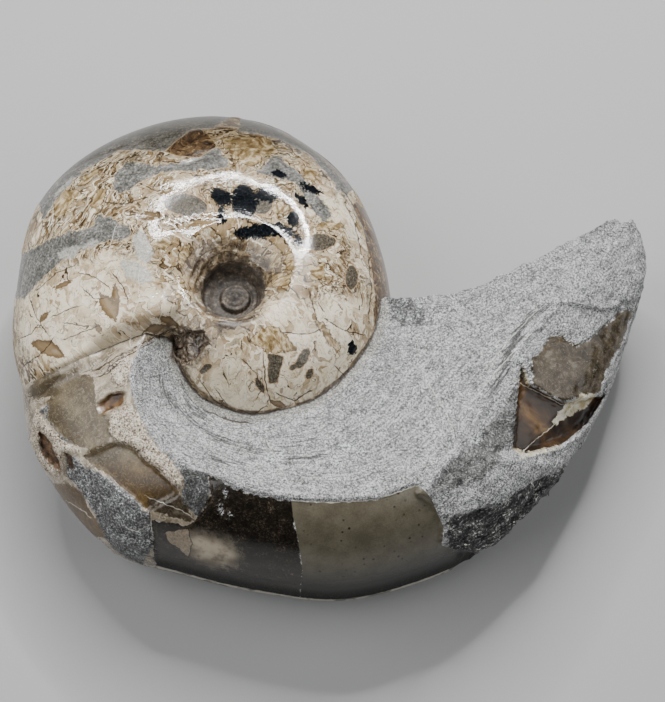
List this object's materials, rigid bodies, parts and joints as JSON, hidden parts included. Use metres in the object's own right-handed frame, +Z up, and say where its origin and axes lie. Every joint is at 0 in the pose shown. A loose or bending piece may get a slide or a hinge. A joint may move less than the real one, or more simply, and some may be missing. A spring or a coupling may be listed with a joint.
{
  "type": "fossil nautilus",
  "caption": "Fossil nautilus lying on its flank: polished shell coil with a deep navel, and a worn last whorl of limestone that ends in a broken horn.",
  "frame": {"origin": "middle of the outline, on the surface that the fossil rests on", "axes": "+Z up along the coil's axis, +X towards the tip of the horn, +Y away from the polished outer band"},
  "size_m": [0.1974, 0.156, 0.062],
  "materials": {
    "stone": "part polished cream and brown calcite, part matte tooled grey limestone"
  },
  "bodies": {
    "root": {"fossil_nautilus": "stone"}
  },
  "joints": []
}
